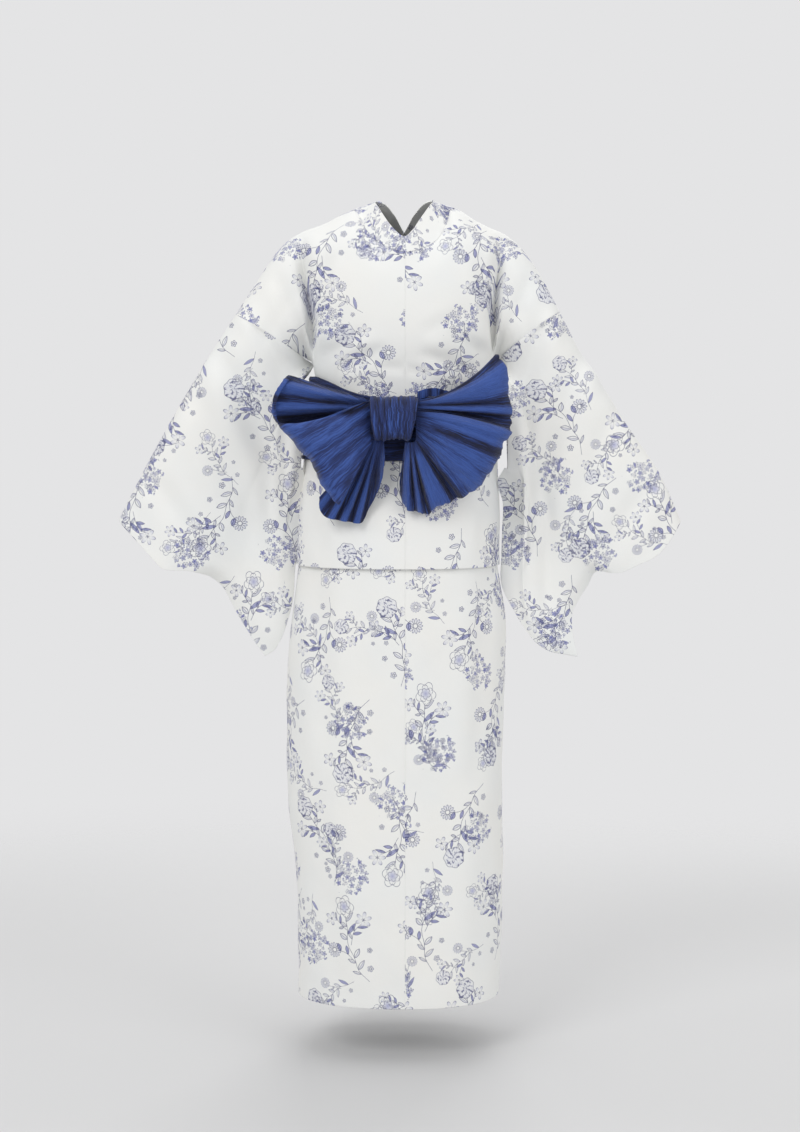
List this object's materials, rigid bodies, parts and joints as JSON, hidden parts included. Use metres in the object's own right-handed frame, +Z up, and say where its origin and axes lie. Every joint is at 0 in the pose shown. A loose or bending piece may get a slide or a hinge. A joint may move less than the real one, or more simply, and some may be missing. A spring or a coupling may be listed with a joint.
{
  "type": "cotton yukata robe with bow sash",
  "caption": "Hollow cotton summer robe with wide hanging sleeves, crossed collar, waist tuck and a navy sash tied in a flat bow at the back.",
  "frame": {"origin": "between the shoulders, at the height where the wearer's neck meets them", "axes": "+Z up, -Y behind the wearer, +X to the wearer's right"},
  "size_m": [0.89, 0.3003, 1.2568],
  "materials": {
    "cotton": "matt printed cotton",
    "sash": "matt crinkled cloth"
  },
  "bodies": {
    "root": {"back_left": "cotton", "back_right": "cotton", "front_left": "cotton", "front_right": "cotton", "tuck_back_left": "cotton", "tuck_back_right": "cotton", "tuck_front": "cotton", "skirt_back_left": "cotton", "skirt_back_right": "cotton", "skirt_front_left": "cotton", "skirt_front_right": "cotton", "gore_left": "cotton", "gore_right": "cotton", "sleeve_left_back": "cotton", "sleeve_left_front": "cotton", "sleeve_right_back": "cotton", "sleeve_right_front": "cotton", "collar": "cotton", "sash_belt": "sash", "sash_knot": "sash", "bow_left": "sash", "bow_right": "sash", "bow_tail": "sash", "bow_tuft": "sash"}
  },
  "joints": []
}
